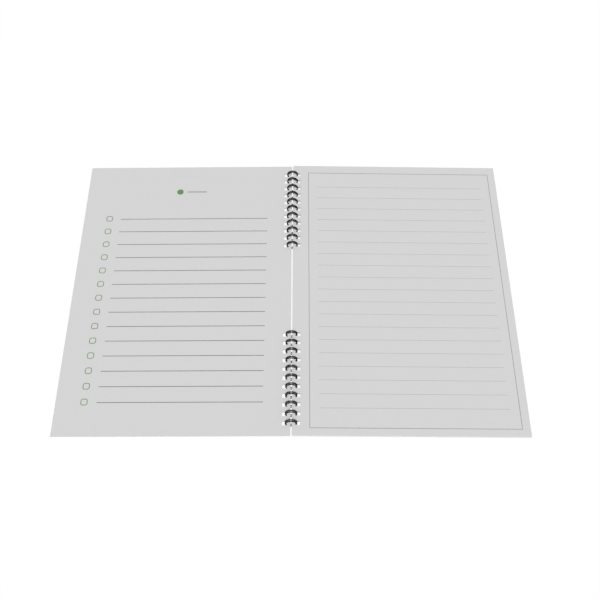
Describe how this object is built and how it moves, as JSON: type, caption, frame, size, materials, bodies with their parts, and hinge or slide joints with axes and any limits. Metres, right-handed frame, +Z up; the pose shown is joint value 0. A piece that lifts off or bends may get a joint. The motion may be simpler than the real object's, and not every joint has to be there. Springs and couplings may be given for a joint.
{
  "type": "wire-bound spiral notebook",
  "caption": "Open A5 notebook bound with black twin-loop wire combs: a check-list page faces a ruled, bordered notes page, and the covers and leaves turn on the rings.",
  "frame": {"origin": "on the table, under the middle of the spine, between the two halves", "axes": "+X across the open pages to the right, +Y along the spine towards the head of the pages, +Z up"},
  "size_m": [0.2968, 0.21, 0.0079],
  "materials": {
    "coated_wire": "satin black nylon coat",
    "cover_card": "uncoated card",
    "leaf_paper": "uncoated paper",
    "grey_ink": "flat printed ink",
    "green_grey_ink": "flat printed ink",
    "green_ink": "flat printed ink",
    "pale_ink": "flat printed ink",
    "border_ink": "flat printed ink",
    "faint_ink": "flat printed ink"
  },
  "bodies": {
    "binding": {"wire_comb_upper": "coated_wire", "wire_comb_lower": "coated_wire"},
    "front_cover": {"front_cover": "cover_card"},
    "left_leaves": {"left_leaves": "leaf_paper", "task_lines": "grey_ink", "check_boxes": "green_grey_ink", "title_bullet": "green_ink", "title_bar": "pale_ink"},
    "back_cover": {"back_cover": "cover_card"},
    "right_leaves": {"right_leaves": "leaf_paper", "page_border": "border_ink", "ruled_lines": "faint_ink"}
  },
  "joints": [
    {"name": "front_cover_turn", "type": "hinge", "parent": "binding", "child": "front_cover", "pos_m": [0, 0, 0.00394], "axis": [0, 1, 0], "range_deg": [0, 180.8]},
    {"name": "left_leaves_turn", "type": "hinge", "parent": "front_cover", "child": "left_leaves", "pos_m": [0, 0, 0.00394], "axis": [0, 1, 0], "range_deg": [0, 180]},
    {"name": "back_cover_turn", "type": "hinge", "parent": "binding", "child": "back_cover", "pos_m": [0, 0, 0.00394], "axis": [0, -1, 0], "range_deg": [0, 180.8]},
    {"name": "right_leaves_turn", "type": "hinge", "parent": "back_cover", "child": "right_leaves", "pos_m": [0, 0, 0.00394], "axis": [0, -1, 0], "range_deg": [0, 180]}
  ]
}
